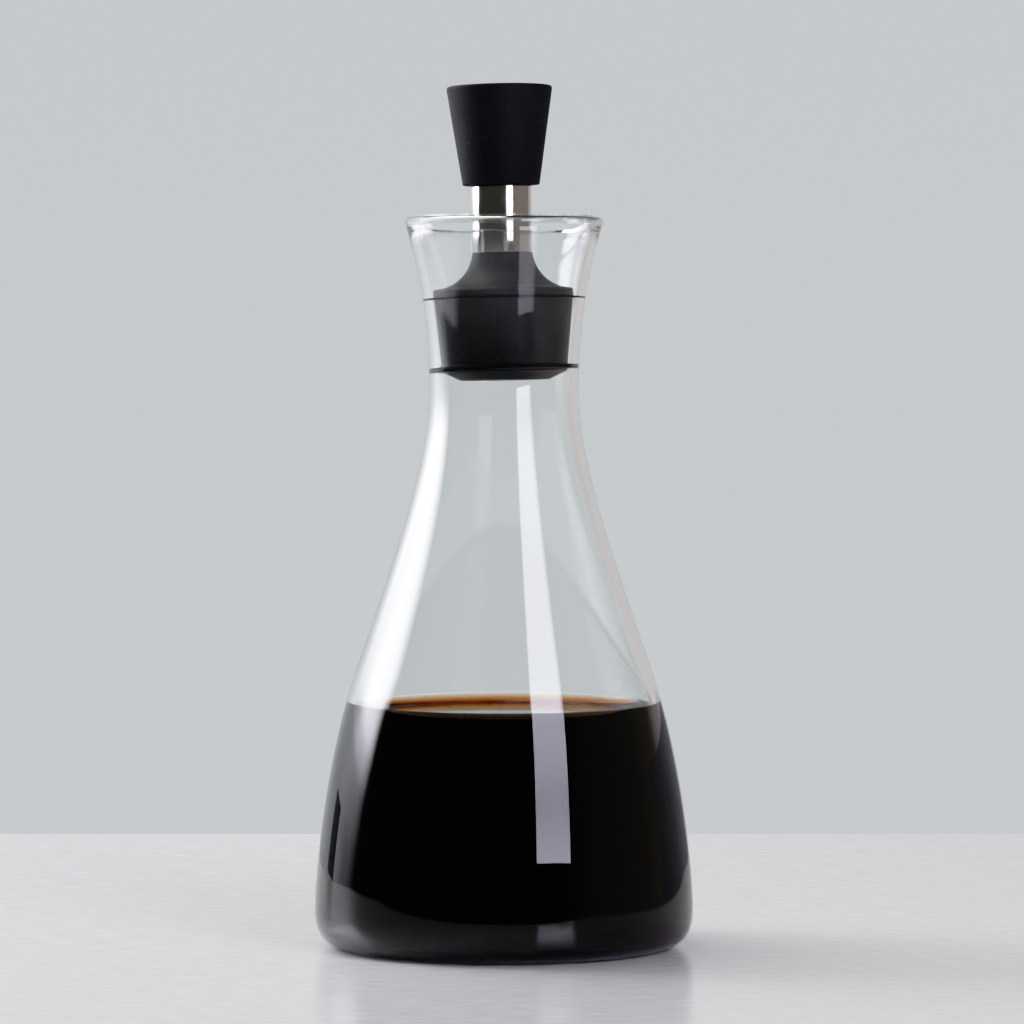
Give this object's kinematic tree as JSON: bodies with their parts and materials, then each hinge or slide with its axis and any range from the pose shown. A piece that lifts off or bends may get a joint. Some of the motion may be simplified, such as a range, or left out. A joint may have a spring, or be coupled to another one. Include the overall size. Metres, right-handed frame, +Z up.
{
  "type": "glass oil cruet",
  "caption": "Clear blown-glass cruet with a conical body, flared mouth and rounded lip, holding dark liquid, closed by a finned plug with a steel stem and a tapered black knob.",
  "frame": {"origin": "middle of the foot, on the table", "axes": "+Z up along the carafe's axis, -Y the front, +X to the right seen from the front"},
  "size_m": [0.0974, 0.0974, 0.2211],
  "materials": {
    "clear_glass": "clear, smooth, fire-polished",
    "dark_liquid": "near-black brown liquid with a smooth wet surface",
    "black_silicone": "moulded, satin",
    "polished_steel": "polished stainless steel with faint draw lines",
    "black_plastic": "matte, soft-touch"
  },
  "bodies": {
    "root": {"carafe_glass": "clear_glass", "liquid": "dark_liquid", "stopper_plug": "black_silicone", "stopper_stem": "polished_steel", "stopper_knob": "black_plastic"}
  },
  "joints": []
}
